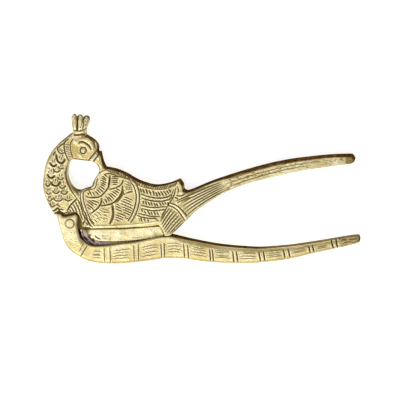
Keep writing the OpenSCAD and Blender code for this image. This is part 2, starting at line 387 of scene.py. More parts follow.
def bird_chasing():
    c = Chasing()
    # Crest: two slits, dots, base bead
    c.draw("""
    cut .58 1 .97 1: 77.4 115.5 77.2 120 76.9 126 76.8 130.4;
    cut .75 .8 .9 1: 77.3 116.4 77.2 119.6;
    cut .5 .8 .92 .7: 84 116.5 82.7 120.8 83 123.4;
    cut .7 .8 .9 1: 84.4 116.6 83.2 119.4;
    cut .36 .4 .6 .7: 83.2 124 82.4 130;
    bead .9 .35: 74.4 116 74.6 121 74.8 128, 80.2 116.6 80.2 122 79.8 128, 86.8 118 85.6 123 84.6 128.6""")
    for x, y in picture("73.6 122.3 85.3 124.4 84.9 121 80.2 127"):
        c.cut([(x, y), (x + 0.2, y + 0.7)], 0.36, 0.3, 0.8, 1.0)
    c.draw("""
    cut .34 .3 .75 .9: 73.6 130.2 77 131.2 81 130.8 85.7 129.2;
    cut .42 .4 .9 .9: 73.2 135.4 79.2 135.1 83.4 134.5 87.4 134.9;
    bead 1 .35: 73.6 132.8 79.5 132.6 85.6 131.8""")
    # Head: brow, eye, rim line, cheek and beak collar
    c.draw("""
    cut .5 .6 1 .35: 78.3 142.8 81 141.7 83.6 141.9 86.9 143.8 89.5 146 91.2 149.3;
    bead .75 .5: 78.6 144.8 82 143.9 85.4 145 88 147.4 89.6 150.4;
    bead 1 .55: 80 139.7 85 139.6 89.2 142 92 146 92.6 149.5;
    bead .9 .6: 88.4 141 90 142.4 91 144;
    bead .8 .6: 91.8 146.6 92.5 149;
    bead 1.1 .4: 75.2 141.2 76.6 142.4 78.4 141.6;
    bead .9 .3: 78.8 154 81.4 156""")
    ring = [(83.3 + 3.0 * math.cos(a), 150.3 + 3.2 * math.sin(a)) for a in np.linspace(0.6, 6.9, 14)]
    c.cut(ring, 0.42, 0.42, 0.85, 0.9)
    c.draw("""
    bead 1.3 .5: 83 150.3 83.6 150.3;
    bead .7 .6: 83.1 149.8 83.5 150.4;
    cut .5 .4 .88 .4: 88 138 90.6 139.6 92.8 141.4 94.2 144.6 95.2 148;
    cut .8 .3 .8 .6: 89.6 138.4 92.2 140.6;
    bead .7 .4: 94.6 141.8 96 145 97.2 149;
    cut .42 .5 .95 .8: 96.6 150.4 94 153.9 91.2 157.1 88.2 160.9, 100 153.4 97.6 156 95.3 159.1 93.6 161.8;
    bead .8 .35: 98.4 152.2 95.8 155.2 93.4 158.3 91.2 161.2;
    cut .5 .6 1 1: 96.8 150 98.5 149.9 100.2 150.4;
    bead .6 .4: 98.4 152.4 99.4 152.8;
    cut .4 .35 .95 .9: 97.8 154.2 99.2 155 100.4 155;
    bead .9 .35: 98.6 157 100.4 161 101.6 166;
    cut .35 .2 .5 .5: 96.4 162.5 98.8 166.5 100.2 170.4;
    cut .4 .3 .7 .7: 74 158.5 79 159.3 84 159.9 88.2 160.3""")
    # Ribbed collar round the neck
    c.draw("""
    cut .42 .5 .95 .6: 68.4 138.6 65.2 141.6 64.2 145 64.4 149 65.5 153.4 67.2 157.4 68.6 160.4;
    cut .36 .4 .8 .6: 73.2 138.6 71.2 142 70.4 146 70.7 150 71.8 154 73.3 158""")
    c.rule(picture("64.9 144.6 65.3 149 66.5 153.4 68.6 158.4"),
           picture("69.8 144 70 148 71 152 72.4 156.8"), 9, 0.28, 0.3, 0.55, 0.1)
    # Neck scales: crescents open to the top, each with short ticks above it
    for _, (ink,), points in table("""
    1: 56.4 154.6 56.9 158.6 59 162 61.6 162.9 64 161.4 64.8 159;
    1: 50.2 162.8 52 165.4 54 166 56.6 164.6;
    .7: 58.3 166.4 60.6 168.6 63.6 167.8;
    .75: 53.4 168.6 55 171.2 57.4 171.8 60.2 170.2;
    1: 47.6 174.4 49.6 177.2 52 177.6 54.8 175.8;
    .7: 57.6 177 59.6 179.2 61.6 179.2 63.6 177.6;
    1: 51 182 53 184.8 56.4 185.6 58.8 184.2 60 181.8;
    .7: 59.2 186.2 61.4 187.9 63.8 187.4 65.8 185.6;
    .6: 45.2 183.4 47.6 185.6 50.4 183.6;
    .6: 52.4 190.6 55 193 57.6 192.8 59.6 190.8;
    .75: 60.8 191.4 63.2 193.9 65.8 193.6 67.8 191.4;
    .55: 46 191.2 48.2 194 51.2 192.6;
    .65: 53.2 197.6 56 200.4 60 200.6 63.4 198.2;
    .75: 64.8 198.8 68 200.8 71.8 199.2;
    .6: 47 199 49.6 201 52.6 198.6;
    .7: 49.6 205.2 52 206.8 55.2 205;
    .65: 57.2 146.6 58.6 151.2 61.4 153.4 64 152.4;
    .4: 66.4 168.6 66 171.4 64.4 172.8"""):
        c.cut(points, 0.66 if ink > 0.9 else 0.46, 0.6 * ink + 0.2, min(1.0, ink + 0.12), 0.6, step=0.6)
    for x, y in picture("""
    60 156.4 61.8 158.2 62.8 155.6 52.6 160.8 54.8 160 63 164.4 60.9 165.4 49 171.6 51.4 170.6 53.4
    172.2 59.3 175 62 174.6 46.9 181 49.2 180.4 52.8 181.2 55.8 180 57.8 180.6 63.4 182 61 182.8 48
    189.4 50 188.8 54.9 189 57.2 188.2 64 189.8 62.2 190.2 48.6 197 50.2 196.2 56 196.6 59 195.8 61.2
    196.4 67.6 197.4 69.8 196.8 50.6 203.2 53 202.6 60.2 149.4 62 150.4"""):
        c.cut([(x + 0.3, y - 1), (x - 0.2, y + 1)], 0.32, 0.3, 0.72, 0.8)
    c.draw("""
    cut .42 .4 .95 .5: 58.2 147.8 60.6 145.6 64.2 142.8;
    cut .46 .4 1 .7: 53.2 154.8 55.4 151.6;
    cut .4 .35 .85 .6: 46.4 185.8 48.2 186.4 49.8 184.8 51.2 182.8;
    cut .4 .4 .8 .6: 62 162.4 64 161.8 65.6 160;
    cut .6 .3 .8 .5: 48.8 203.4 50.4 204.6 51 206.6""")
    for x, y in picture("48.6 169 47 178.6 50.6 174 52.6 180 45.8 189.6 54.4 163 58.8 158.8 57 168.6"):
        c.bead([(x, y), (x + 0.6, y + 1.2)], 0.8, 0.35)
    c.draw("""
    cut .38 .4 .8 .7: 56.2 205 57.6 204 58.4 205.6 60.5 206.4;
    cut .5 .6 1 .7: 52.2 210.6 54.8 210.2 57.8 207.9 59.6 209.9 62 209.6 64.8 209.4 67.4 210;
    cut .5 .6 1 .8: 55 213 59 212 61 213.6 65 214.2 70 212.4""")
    # Rim of the loop
    c.draw("""
    cut .42 .4 .76 .6: 72.6 160.4 68.6 165.2 66.2 171 66 177 67.4 183 70.6 189.4 74.2 194.4 77 198;
    bead .75 .5: 67.6 172 67.8 178 69.2 183.6 72 189.2 75.6 194.4 78.6 198.4;
    cut .42 .5 .9 .6: 73 187.6 76.2 191.6 79 195;
    cut .5 .4 .75 .8: 76.2 189.6 79 191.8 80.6 190.2""")
    # Chest strip between the scales and the wing
    c.draw("""
    cut .5 .5 .95 .7: 77.2 198.6 74 201.4 71.2 204.4 68.8 207.8 67.4 210.6""")
    for a, b in couples("""
    69.6 209.4 71.4 213.2 71.2 206.6 74.6 213.4 73.4 204 77.4 213.2 75.8 201.8 80.4 213 78.2 199.8 83.2
    212.8 79.8 213 82.4 219.4 82.4 212.6 85.6 219.8 84.2 210.6 87.6 218.4"""):
        c.cut([a, ((a[0] + b[0]) / 2 + 0.2, (a[1] + b[1]) / 2 - 0.2), b], 0.42, 0.45, 0.9, 0.5)
    c.draw("""
    cut .5 .45 .95 .9: 84.6 220.8 83 223.8 81.8 226.6;
    cut .55 .55 1 .8: 86.2 217.4 88.2 221.4 90.6 225.4;
    cut .36 .4 .9 .7: 80.6 199.6 81.6 203.4 83 207.4;
    cut .5 .3 .95 .8: 83.4 227.4 86.4 227.6 90 227.8;
    cut .4 .4 .85 .8: 86 222.4 87.6 224.6""")
    # Wing border
    line = curve(picture("""
    107 170.6 101.8 172.8 97.7 176.5 95.6 181 94.6 186 92.2 187.8 88 188.6 84.2 190 82 193.4 82.2 199
    83.6 205 85.8 211.5 88.2 217.5 91 223.2 93.8 226.2"""))
    c.add(near_face(line), 0.7, 0.38, 0, 0.9)
    c.add(near_face(beside(line, -1.35)), 0.34, -0.35, 0.7, 0.7)
    c.add(near_face(beside(line, 1.35)[14:]), 0.34, -0.35, 0.75, 0.7)
    c.draw("""
    bead .7 .2: 94 226.3 110 226.2 125 225.3 140 223.9 152 222.4 158.5 221.4;
    cut .42 .35 .7 .6: 104.6 174.2 107.6 173.2 112 173.9 117.4 175.8 122.4 177.2 127 178.6 131.4 180.6""")
    # Double arc behind the wing
    line = curve(picture("""
    131.6 180.6 134.2 183.6 136.3 187.8 137.7 193 138 198.5 137 205 134.8 212 132.4 217 129.6 221.6"""))
    c.add(near_face(line), 0.65, 0.4, 0, 0.9)
    c.add(near_face(beside(line, -1.7)), 0.36, -0.45, 0.9, 0.8)
    c.add(near_face(beside(line, 1.7)), 0.36, -0.45, 0.9, 0.8)
    # Fan leaves: a thick edge, then ribs square to it
    c.draw("""
    cut .46 .6 .9 .5 .4: 110 175.4 109.8 180.8 108.7 186.6 105.8 191 102.6 194.6 98.6 197 93.6 197.6 89.4
      197.4 86.2 195.8;
    cut .62 .7 1 .4: 109.9 176 109.5 181 108.5 186.8;
    ribs: 88.3 192.9 88.6 194.6 89.5 191 91.7 195.3 93.1 192.2 94.6 195 95.6 191.2 98.5 194.3 97.1 189.2
      100.3 192.4 98.3 187.5 103.4 191.7 100.2 186.2 104.5 189.2 101.4 184.4 104.8 186.4 101.2 182.4 105.8
      184.6 104.2 182 106.4 182.6 100.9 179.8 104.6 181.6 101.8 177.8 105.8 180.2 102.4 175.9 106 178.6
      104.4 174 107 176.3;
    cut .44 .5 .85 .6: 123.2 180 122 183.4 119 186 114.6 188 110.2 189;
    ribs .36: 112.6 176.2 118.6 176.8 112.3 178.2 118.4 178.4 112.3 180.3 117.8 180.3 112.2 182.3 118 182.3
      113 184.5 116.8 184.3;
    cut .5 .6 .95 .6 .4: 122.8 186 122.2 190.6 120.4 195 117.2 199.2 113.8 202.4 109.6 204.3 105.2 205.2
      101.4 205.4;
    cut .75 .6 .72 .4: 123.2 188.6 122.4 193.6 119.6 198.4 115.6 202.6;
    ribs: 103.6 201.8 104.6 203.8 105 199 107 202.6 106.2 196.2 109.5 201.2 108.8 197 112.1 200.7 108.6
      193.6 113.8 198.5 111 193.2 115.8 196.6 112.4 191.3 117.4 194.6 114.6 190.2 118.6 192.4 116.4 188.6
      119.8 190.2;
    cut .52 .6 .9 .4 .35: 101.8 198 101.6 201.4 100.2 204.6 97.6 208.2 94.2 211 90.4 213.8;
    ribs: 89.1 200 93.6 203.3 93.6 203.3 97 204.7 87.4 201.2 93.2 205.6 87 204 91.8 207.2 90.5 206.9 93.7
      209 87.8 207.2 90.4 209.2 92 200 98.6 202.4;
    ribs .28 .26 .6: 92 215 94 217 94.6 213.4 98 216.6 97 211.4 101.4 215 96.9 217.8 100.6 220.2 100 209.4
      104.6 212.6 101.9 208.2 108.9 210.4 103.2 211.8 109.6 212.6 102.4 214.4 107.6 216 100 217 105 219.4
      104 217.4 108 218.8 94 219 97.4 222;
    ribs .45 .5 .95: 89.4 218.8 93.9 223.2;
    cut .78 .6 .8 .35: 112.2 203.8 113.1 208.6 113.3 213.7 112.3 218.7 110 223.2;
    cut .5 .7 1 .4: 112.6 206.6 112.8 211.4;
    cut .5 .7 1 .6: 111.2 221 110.2 223.4;
    ribs .36 .42 .8: 124.6 196.6 132.6 200 123.4 198.7 131.8 202.1 121.4 200.4 132.6 205.4 120.8 203.1 133
      208.7 116.8 204.1 119.2 205.2 122.6 206.6 132.6 211 116 206.1 121 208.2 122.8 209.2 131.6 212.8 116.1
      208.7 122 211.2 123.6 212 129.6 214.8 118 212.6 126.4 216 115.8 214.4 123.4 217.6 125 217.4 128.4
      218.8 115.8 216.8 123 219.6 115.4 219.4 119.4 221;
    ribs .46 .45 .92: 126.4 192.9 132.6 191.2 123.2 193.8 125.2 194""")
    c.draw("""
    cut .28 .3 .66 .5: 125.4 180.6 130.4 184, 125.2 183.4 131.6 186, 125.6 186.4 132 187.6,
      125.8 189 132.2 189.2""")
    # Notched rope along the back, and the line under it
    edge = picture("107 169.4 116.5 171.4 127.3 175.6 138 182 151 186.2 160 186.8 170.8 184.6 177 182.2")
    under = picture("""
    109.4 172 116.6 174 127.3 178.2 138.3 184.7 145.4 187.4 151.9 188.7 160 189.4 167 188.4 174.6 186""")
    c.rule(edge, under, 32, 0.3, 0.45, 0.84, 0.05)
    shares = np.arange(0.5, 31) / 31
    for p, q in zip(at_share(curve(edge), shares), at_share(curve(under), shares)):
        c.add(near_face([p, (p + q) / 2, q]), 0.42, 0.3, 0, 0.8)
    c.cut(under, 0.34, 0.3, 0.54, 0.6)
    # Tail coverts: four ribbed rows between sagging double lines
    for _, (ink,), ends in table("""
    .97: 140.6 188.6 141.6 192 143 189.1 144.4 192.7 146.4 189.5 147.5 193.3 149.5 190.6 151.2 194.5 153.1
      191 154.3 194.8 155.9 192.2 157.5 196 158.5 192 160.2 195.2 161.3 191.5 163.5 195.3 164.1 191.2 166.6
      194.8 166.9 190.6 168.7 193.4 169.1 189.2 170.9 191.8;
    .88: 143.2 201 143.8 203.3 145.6 200.9 146.8 204.3 148.3 201.9 149.9 205 151.1 202.2 152.4 205 153.9
      202.8 155.5 205.7 156.7 203.2 158 205.7 159.6 202.5 161.3 205.3 162.4 202.4 163.7 204.5 165 202.2
      166.2 203.9;
    .84: 141.6 208.6 142.6 211.4 144.6 210.9 145.7 213 147.8 211 150 214.4 151.1 211.9 152.4 214.3 154.2
      211.7 155.6 214.5 157.2 212.2 158.6 214.5;
    .84: 141 217.6 142.3 221.2 144 218.5 145.4 220.7 147.6 219.6 148.8 221.4"""):
        for pair in zip(ends[::2], ends[1::2]):
            c.cut(pair, 0.46, 0.5, ink * rng.uniform(0.85, 1))
    for _, (ink,), points in table("""
    1: 141.6 193.8 147.2 196.1 150.9 197 154.3 197.7 159.9 198 164.1 197.5 168.3 196.4 171.4 194.4;
    1: 141.9 197.5 145.8 199.2 150 200.3 155.1 201 161.3 201.1 166.9 200 169.7 198.9 172 196.6;
    .88: 141.3 204.8 145.3 206.2 150.6 207.3 155.7 207.4 160.7 206.9 165.2 206.1;
    .9: 142.7 208.4 147.2 209.6 152 210.4 157.1 210.4 161.3 209.8 165.2 209;
    .72: 138.8 213.2 147.2 215.3 151.7 216.4 156.4 216.5 160 216;
    .85: 137.7 215.2 141.6 216.9 145.3 217.5 150 218.3 155.7 218.6 158.6 220.8"""):
        c.cut(points, 0.42, 0.5, 0.95 * ink, 0.6)
    c.draw("""
    cut .3 .25 .6 .6: 138.8 217.6 139.8 219.8 140.4 221.8""")
    # Double line below the spike, tail band, and the fan between them
    c.draw("""
    cut .38 .45 .85 .6: 175.8 188 174.4 194 172.2 199 169 203.6 165.2 210.4 161.2 218;
    cut .3 .25 .6 .6: 173.8 188.6 172.4 193.4 171.4 197;
    cut .6 .6 1 .9: 168.3 202.8 168.6 205;
    cut .42 .45 .8 .6: 169.6 202.6 173.4 203.8 177.6 206 181.8 209.8 184.6 213 187.2 216, 168.8 205.4 173
      206.8 176.8 209.4 180.2 213.4 182.8 217.2 184.8 220;
    bead .7 .3: 171 204.2 175.6 206 179.4 209.2 183 213.6 186 218.4;
    cut .5 .5 1 .8: 184.6 212.6 186.6 215.2""")
    for a, b in couples("""
    164.6 211.4 162.2 215 169.7 207.9 161 220.8 172.2 208.9 162 224 174.8 210.7 162.9 227 177 212.8 164
    229.6 179 215.2 165.4 231.4 181 217.6 167.4 232.9 182.8 219.8 169.8 233.6 184 222 172.6 233.4"""):
        middle = ((a[0] + b[0]) / 2 - 0.3, (a[1] + b[1]) / 2 - 0.3)
        c.cut([a, middle, b], 0.38, 0.45, rng.uniform(0.78, 0.95), 0.4)
    c.draw("""
    cut .42 .4 .8 .6: 176.6 195 179.6 196 183 195 186.4 192.4;
    cut .4 .45 .85 .5: 176.4 200.6 183 197.8 192 193.9 204 189;
    cut .3 .3 .6 .5: 186.4 195 194 191.2 206 186.4;
    cut .36 .4 .8 .5: 177.6 202.4 184 199.6 190 197;
    cut .5 .4 .8 .8: 175.6 197.4 177.8 198.2;
    bead .9 .35: 177.6 192.4 181 192.6 184 190.6;
    cut .45 .3 .55 .5: 177.4 186 178.6 190 177.8 194""")
    # Long grooves on the tail, converging along the handle
    top = curve(picture("""
    177 198.4 188 193.6 200 188.6 210 184.6 225 179 246.8 172 268.5 166 290.2 161.4 311.9 158.4 333.6
    156.8 350 156.6"""))
    low = curve(picture("""
    186.8 218.6 197 209.6 210 200.6 225.1 192 246.8 183.3 268.5 176.8 290.2 171.4 311.9 167.4 333.6
    164.4 351 161.8"""))
    starts = [0.03, 0.015, 0.012, 0.008, 0.006, 0.004]
    stops = [0.8, 0.24, 0.84, 0.24, 0.78, 0.3]

    def along(share, f):
        """Points along the handle at shares of its length, a share f of the way down its face."""
        return near_face(at_share(top, share) * (1 - f) + at_share(low, share) * f)

    for k, (first, last) in enumerate(zip(starts, stops)):
        for start, stop, half, depth, ink in (
                (first, 0.27, 0.36, 0.5, 0.88), (0.25, last, 0.3, 0.25, 0.55)):
            if stop > start:
                c.add(along(np.linspace(start, stop, 20), (k + 0.8) / 6.6), half, -depth, ink, 0.3)
    for _ in range(190):
        s = rng.uniform(0.26, 0.985)
        f = rng.uniform(0.1, 0.92)
        share = np.array([s, s + rng.uniform(0.004, 0.018)])
        if share[1] < 1:
            c.add(along(share, f), 0.24, -0.12, rng.uniform(0.25, 0.6), 0.7)
    for x, y in picture("341.6 158.4 347 158.6 347 161.2 350.3 160.4 351 162.3"):
        c.cut([(x - 0.3, y), (x + 0.3, y + 0.2)], 0.4, 0.2, 0.8, 0.9)
    # Stippling between the ribs
    for _ in range(130):
        x, y = rng.uniform(88, 172), rng.uniform(176, 225)
        a = rng.uniform(0, math.pi)
        c.cut([(x, y), (x + 0.7 * math.cos(a), y + 0.7 * math.sin(a))], 0.22, 0.1, rng.uniform(0.15, 0.36), 0.8)
    return c


# Upper and lower edge of the lower lever's face
LOWER_TOP = picture("""
    97 247 123 244.6 145 241.4 158 239 172 236.6 190.5 240.6 207.8 244.3 225 246.7 242.5 247.8 257.7 248.2
    268.5 247.6 290 246 312 243.2 333.6 240 351 237.4""")
LOWER_LOW = picture("""
    96 262 113.8 263 134 261.8 151.4 259.6 164.4 257.2 181.8 257.2 199 259.3 220.8 261.3 242.5 261.8 264.2
    260.7 290.2 256.4 311.9 251.6 333.6 247.2 351 243""")


def lower_chasing():
    c = Chasing()
    # Pairs of cross lines, from the top edge to near the bottom edge
    c.draw("""
    cut .32 .3 .4 .6: 84 242.8 82 246 79.6 250.6;
    cut .36 .38 .62 .7: 87.4 245.6 84.6 249.8 80.4 256.4""")
    pairs = picture("""
    104.6 110.3 134.2 138.6 161.4 164.6 184.2 188.2 210.2 213 233.4 237.2 259.8 264.2 284.2 289 309.4
    313.2 331.4 336.4""")
    tops, lows = curve(LOWER_TOP), curve(LOWER_LOW)

    def across(x, f):
        """A picture point at x, a share f of the way down the lever's face."""
        return (x, (1 - f) * np.interp(x, tops[:, 0], tops[:, 1]) + f * np.interp(x, lows[:, 0], lows[:, 1]))

    for a, b in pairs[:-1]:
        for x, weight in ((a, 0.9), (b, 1.0)):
            lean = 0.5 + 0.008 * max(0, x - 130) + rng.uniform(-0.3, 0.3)
            high = 0.1 if x < 150 else 0.28
            c.cut([across(x - lean / 2, high), across(x, 0.6), across(x + lean / 2, 1.02)],
                  0.3 + 0.0006 * x, 0.4, min(1, max(0.34, 0.0037 * x) * weight), 0.7)
    c.draw("""
    cut .52 .5 1 .9: 331.1 240.4 332.2 244.2 333.5 248;
    cut .55 .5 1 .9: 335.7 239.8 336.7 243.4 337.7 247;
    cut .5 .4 .9 .9: 338.5 237.4 339.3 239.6""")
    for line in [[(340.6, 240.4), (343, 239.6), (346, 239.4)], [(342, 244), (346, 242.4), (351, 241.4)],
                 [(349, 239.4), (353, 239.4), (357, 238)], [(352, 242.6), (356, 241.4), (359, 240)]]:
        c.cut(line, 0.3, 0.25, 0.75, 0.5)
    for x, y in picture("344 241.4 348.3 239.4 350 243 353.7 238 356 240"):
        c.bead([(x - 0.8, y), (x + 0.8, y - 0.2)], 0.8, 0.4)
    # Lengthwise hatching between the pairs
    ends = [89] + [x for pair in pairs for x in pair]
    for a, b in zip(ends[::2], ends[1::2]):
        count = 4 if b - a > 12 else 3
        for k in range(count):
            f = 0.24 + 0.62 * (k + 0.3) / count + rng.normal(0, 0.02)
            start = a + rng.uniform(2.2, 4)
            stop = b - rng.uniform(2.2, 4.5)
            if stop - start < 3:
                continue
            mid = (start + stop) / 2
            sag = rng.normal(0, 0.015)
            c.cut([across(start, f), across(mid, f + sag), across(stop, f + rng.normal(0, 0.02))], 0.26, 0.22,
                  rng.uniform(0.36, 0.66), 0.4)
    # Pits of the casting on the cheek
    for _ in range(46):
        x, y = 58 + 20 * rng.random(), 214 + 34 * rng.random()
        c.cut([(x, y), (x + rng.uniform(0.2, 0.9), y + rng.uniform(0, 0.4))], rng.uniform(0.2, 0.34), 0.12,
              rng.uniform(0.15, 0.4), 0.9)
    return c


# Meshes


def hex_grid(loops, step):
    low, high = loops[0].min(0), loops[0].max(0)
    rows = np.arange(low[1], high[1], step * math.sqrt(0.75))
    across = [np.arange(low[0] + step / 2 * (k % 2), high[0], step) for k in range(len(rows))]
    points = np.vstack([np.column_stack([x, np.full(len(x), y)]) for x, y in zip(across, rows)])
    return points + rng.uniform(-0.04, 0.04, points.shape) * step


def rings(loops, offsets, edge):
    """Points set in from the loops by each offset."""
    out = []
    for k, p in enumerate(loops):
        t = unit(np.roll(p, -1, 0) - np.roll(p, 1, 0))
        n = np.column_stack([-t[:, 1], t[:, 0]]) * (1 if (area(p) > 0) == (k == 0) else -1)
        for gap in offsets:
            q = p + gap * n
            out.append(q[edge.gap(q) > 0.85 * gap])
    return np.vstack(out)


def mesh_of(loops, chasing, step, offsets, lines=()):
    """(points, triangles) that fill the loops, fine at the rim, with points on the chased lines."""
    edge = Rim(loops)
    extra = rings(loops, offsets, edge)
    grid = hex_grid(loops, 2 * step if chasing else step)
    grid = grid[edge.gap(grid) > offsets[-1] + 0.4 * step]
    if chasing:
        fine = hex_grid(loops, step)
        fine = fine[edge.gap(fine) > offsets[-1] + 0.4 * step]
        fine, gap = chasing.snap(fine, 0.55 * step)
        close = FINE_REACH - 0.01
        grid = np.vstack([fine[gap < close], grid[chasing.snap(grid, 0)[1] > close]])
    grid = np.vstack([grid, extra])
    for line in lines:
        grid = grid[gap_to_line(grid, resample(line, 0.1)) > 0.35 * step]
    edges = []
    at = 0
    for p in loops:
        k = len(p)
        edges += [(at + i, at + (i + 1) % k) for i in range(k)]
        at += k
    for p in lines:
        edges += [(at + i, at + i + 1) for i in range(len(p) - 1)]
        at += len(p)
    every = np.vstack(list(loops) + list(lines) + [grid])
    co, _, faces, *_ = delaunay_2d_cdt([tuple(p) for p in every], edges, [], 0, 1e-5)
    co = np.array([tuple(p) for p in co])
    faces = np.array([f for f in faces if len(f) == 3])
    return co, faces[edge.gap(co[faces].mean(1)) > 0]


def rim_edges(faces):
    """Directed edges that only one triangle has."""
    e = np.vstack([faces[:, [0, 1]], faces[:, [1, 2]], faces[:, [2, 0]]])
    seen = set(map(tuple, e))
    return np.array([(a, b) for a, b in e if (b, a) not in seen])


def fillet(gap, r):
    """How far a rounded edge of radius r has dropped at a gap from the outline."""
    t = np.clip(1 - gap / r, 0, 1)
    return r * (1 - np.sqrt(np.maximum(1 - t * t, 0)))


CREASE = 40


class Shell:
    """Vertices, triangles and per-vertex patina, wear, painted shade and painted highlights of one piece."""

    def __init__(self):
        self.co, self.faces, self.tones, self.count = [], [], [], 0

    def add(self, co, faces, ink=0.0, wall=0.0, gold=0.0, worn=0.0):
        self.co.append(np.array(co, float))
        self.faces.append(np.array(faces, int) + self.count)
        tones = [np.broadcast_to(v, len(co)).astype(float) for v in (ink, wall, gold, worn)]
        self.tones.append(np.column_stack(tones))
        self.count += len(co)

    def faces_both(self, co, faces, low, high, *tones):
        """The near face at heights high, and the far face at heights low."""
        self.add(np.column_stack([co, high]), faces, *tones)
        self.add(np.column_stack([co, low]), faces[:, ::-1], *tones)

    def build(self, name, body, nodes, material):
        co = metres(np.vstack(self.co))
        faces = np.vstack(self.faces)
        tones = np.vstack(self.tones).astype(np.float32)
        key = np.round(co * 1e6).astype(np.int64)
        _, first, back = np.unique(key, axis=0, return_index=True, return_inverse=True)
        back = back.reshape(-1)
        faces = back[faces]
        faces = faces[(faces != np.roll(faces, -1, 1)).all(1)]
        mesh = bpy.data.meshes.new(name)
        mesh.from_pydata(co[first].tolist(), [], faces.tolist())
        for k, label in enumerate(("ink", "wall", "gold", "worn")):
            mesh.attributes.new(label, "FLOAT", "POINT").data.foreach_set("value", tones[first, k].copy())
        mesh.polygons.foreach_set("use_smooth", [True] * len(mesh.polygons))
        mesh.set_sharp_from_angle(angle=math.radians(CREASE))
        mesh.materials.append(material)
        obj = bpy.data.objects.new(name, mesh)
        bpy.context.scene.collection.objects.link(obj)
        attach(obj, body)
        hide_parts(*nodes)


def wall_between(shell, co, edges, low, high, rows, tone, pale=None):
    """Walls on the rim edges, from heights low to high in rows, paler near both faces."""
    for k in range(rows):
        z0 = low + (high - low) * k / rows
        z1 = low + (high - low) * (k + 1) / rows
        a, b = edges[:, 0], edges[:, 1]
        n = len(edges)
        quad = np.vstack([
            np.column_stack([co[a], z0[a]]), np.column_stack([co[b], z0[b]]),
            np.column_stack([co[b], z1[b]]), np.column_stack([co[a], z1[a]])])
        i = np.arange(n)
        faces = np.vstack([np.column_stack([i, i + n, i + 2 * n]), np.column_stack([i, i + 2 * n, i + 3 * n])])
        shade = np.concatenate([tone[a], tone[b], tone[b], tone[a]])
        if pale is not None:
            near_edge = smooth(np.abs(quad[:, 2] - TOP / 2), 0.6, 2.6)
            shade = shade * (1 - pale[np.concatenate([a, b, b, a])] * near_edge)
        shell.add(quad, faces, 0.0, shade)


def rim_tone(co, edges, value):
    """Per-vertex wall tone from a function of the rim's outward direction, which paints shade on the sides that
    face one way.
    """
    out = np.zeros(len(co))
    weight = np.zeros(len(co))
    d = co[edges[:, 1]] - co[edges[:, 0]]
    n = unit(np.column_stack([d[:, 1], -d[:, 0]]))
    tone = value(n, co[edges[:, 0]])
    for k in (0, 1):
        np.add.at(out, edges[:, k], tone)
        np.add.at(weight, edges[:, k], 1)
    return out / np.maximum(weight, 1)


# Materials


def nodes_of(name):
    material = bpy.data.materials.new(name)
    material.use_nodes = True
    tree = material.node_tree
    return material, tree, tree.nodes["Principled BSDF"]


def noise(tree, scale, detail=4.0, rough=0.6, stretch=(1, 1, 1)):
    where = tree.nodes.new("ShaderNodeTexCoord")
    mapping = tree.nodes.new("ShaderNodeMapping")
    mapping.inputs["Scale"].default_value = stretch
    node = tree.nodes.new("ShaderNodeTexNoise")
    node.inputs["Scale"].default_value = scale
    node.inputs["Detail"].default_value = detail
    node.inputs["Roughness"].default_value = rough
    tree.links.new(where.outputs["Object"], mapping.inputs["Vector"])
    tree.links.new(mapping.outputs["Vector"], node.inputs["Vector"])
    return node.outputs["Fac"]


def ramp(tree, fac, low, high, start=0.0, stop=1.0):
    node = tree.nodes.new("ShaderNodeMapRange")
    node.interpolation_type = "SMOOTHSTEP"
    for label, value in (("From Min", low), ("From Max", high), ("To Min", start), ("To Max", stop)):
        node.inputs[label].default_value = value
    tree.links.new(fac, node.inputs["Value"])
    return node.outputs["Result"]


def math_node(tree, kind, a, b):
    node = tree.nodes.new("ShaderNodeMath")
    node.operation = kind
    node.use_clamp = True
    for k, value in enumerate((a, b)):
        if isinstance(value, (int, float)):
            node.inputs[k].default_value = value
        else:
            tree.links.new(value, node.inputs[k])
    return node.outputs[0]


def mix(tree, fac, a, b):
    node = tree.nodes.new("ShaderNodeMix")
    node.data_type = "RGBA"
    tree.links.new(fac, node.inputs["Factor"])
    for label, value in (("A", a), ("B", b)):
        socket = [s for s in node.inputs if s.name == label and s.type == "RGBA"][0]
        if isinstance(value, tuple):
            socket.default_value = (*value, 1)
        else:
            tree.links.new(value, socket)
    return [s for s in node.outputs if s.type == "RGBA"][0]


def attribute(tree, name):
    node = tree.nodes.new("ShaderNodeAttribute")
    node.attribute_name = name
    return node.outputs["Fac"]


def bump(tree, bsdf, height, strength, distance):
    node = tree.nodes.new("ShaderNodeBump")
    node.inputs["Strength"].default_value = strength
    node.inputs["Distance"].default_value = distance
    tree.links.new(height, node.inputs["Height"])
    tree.links.new(node.outputs["Normal"], bsdf.inputs["Normal"])


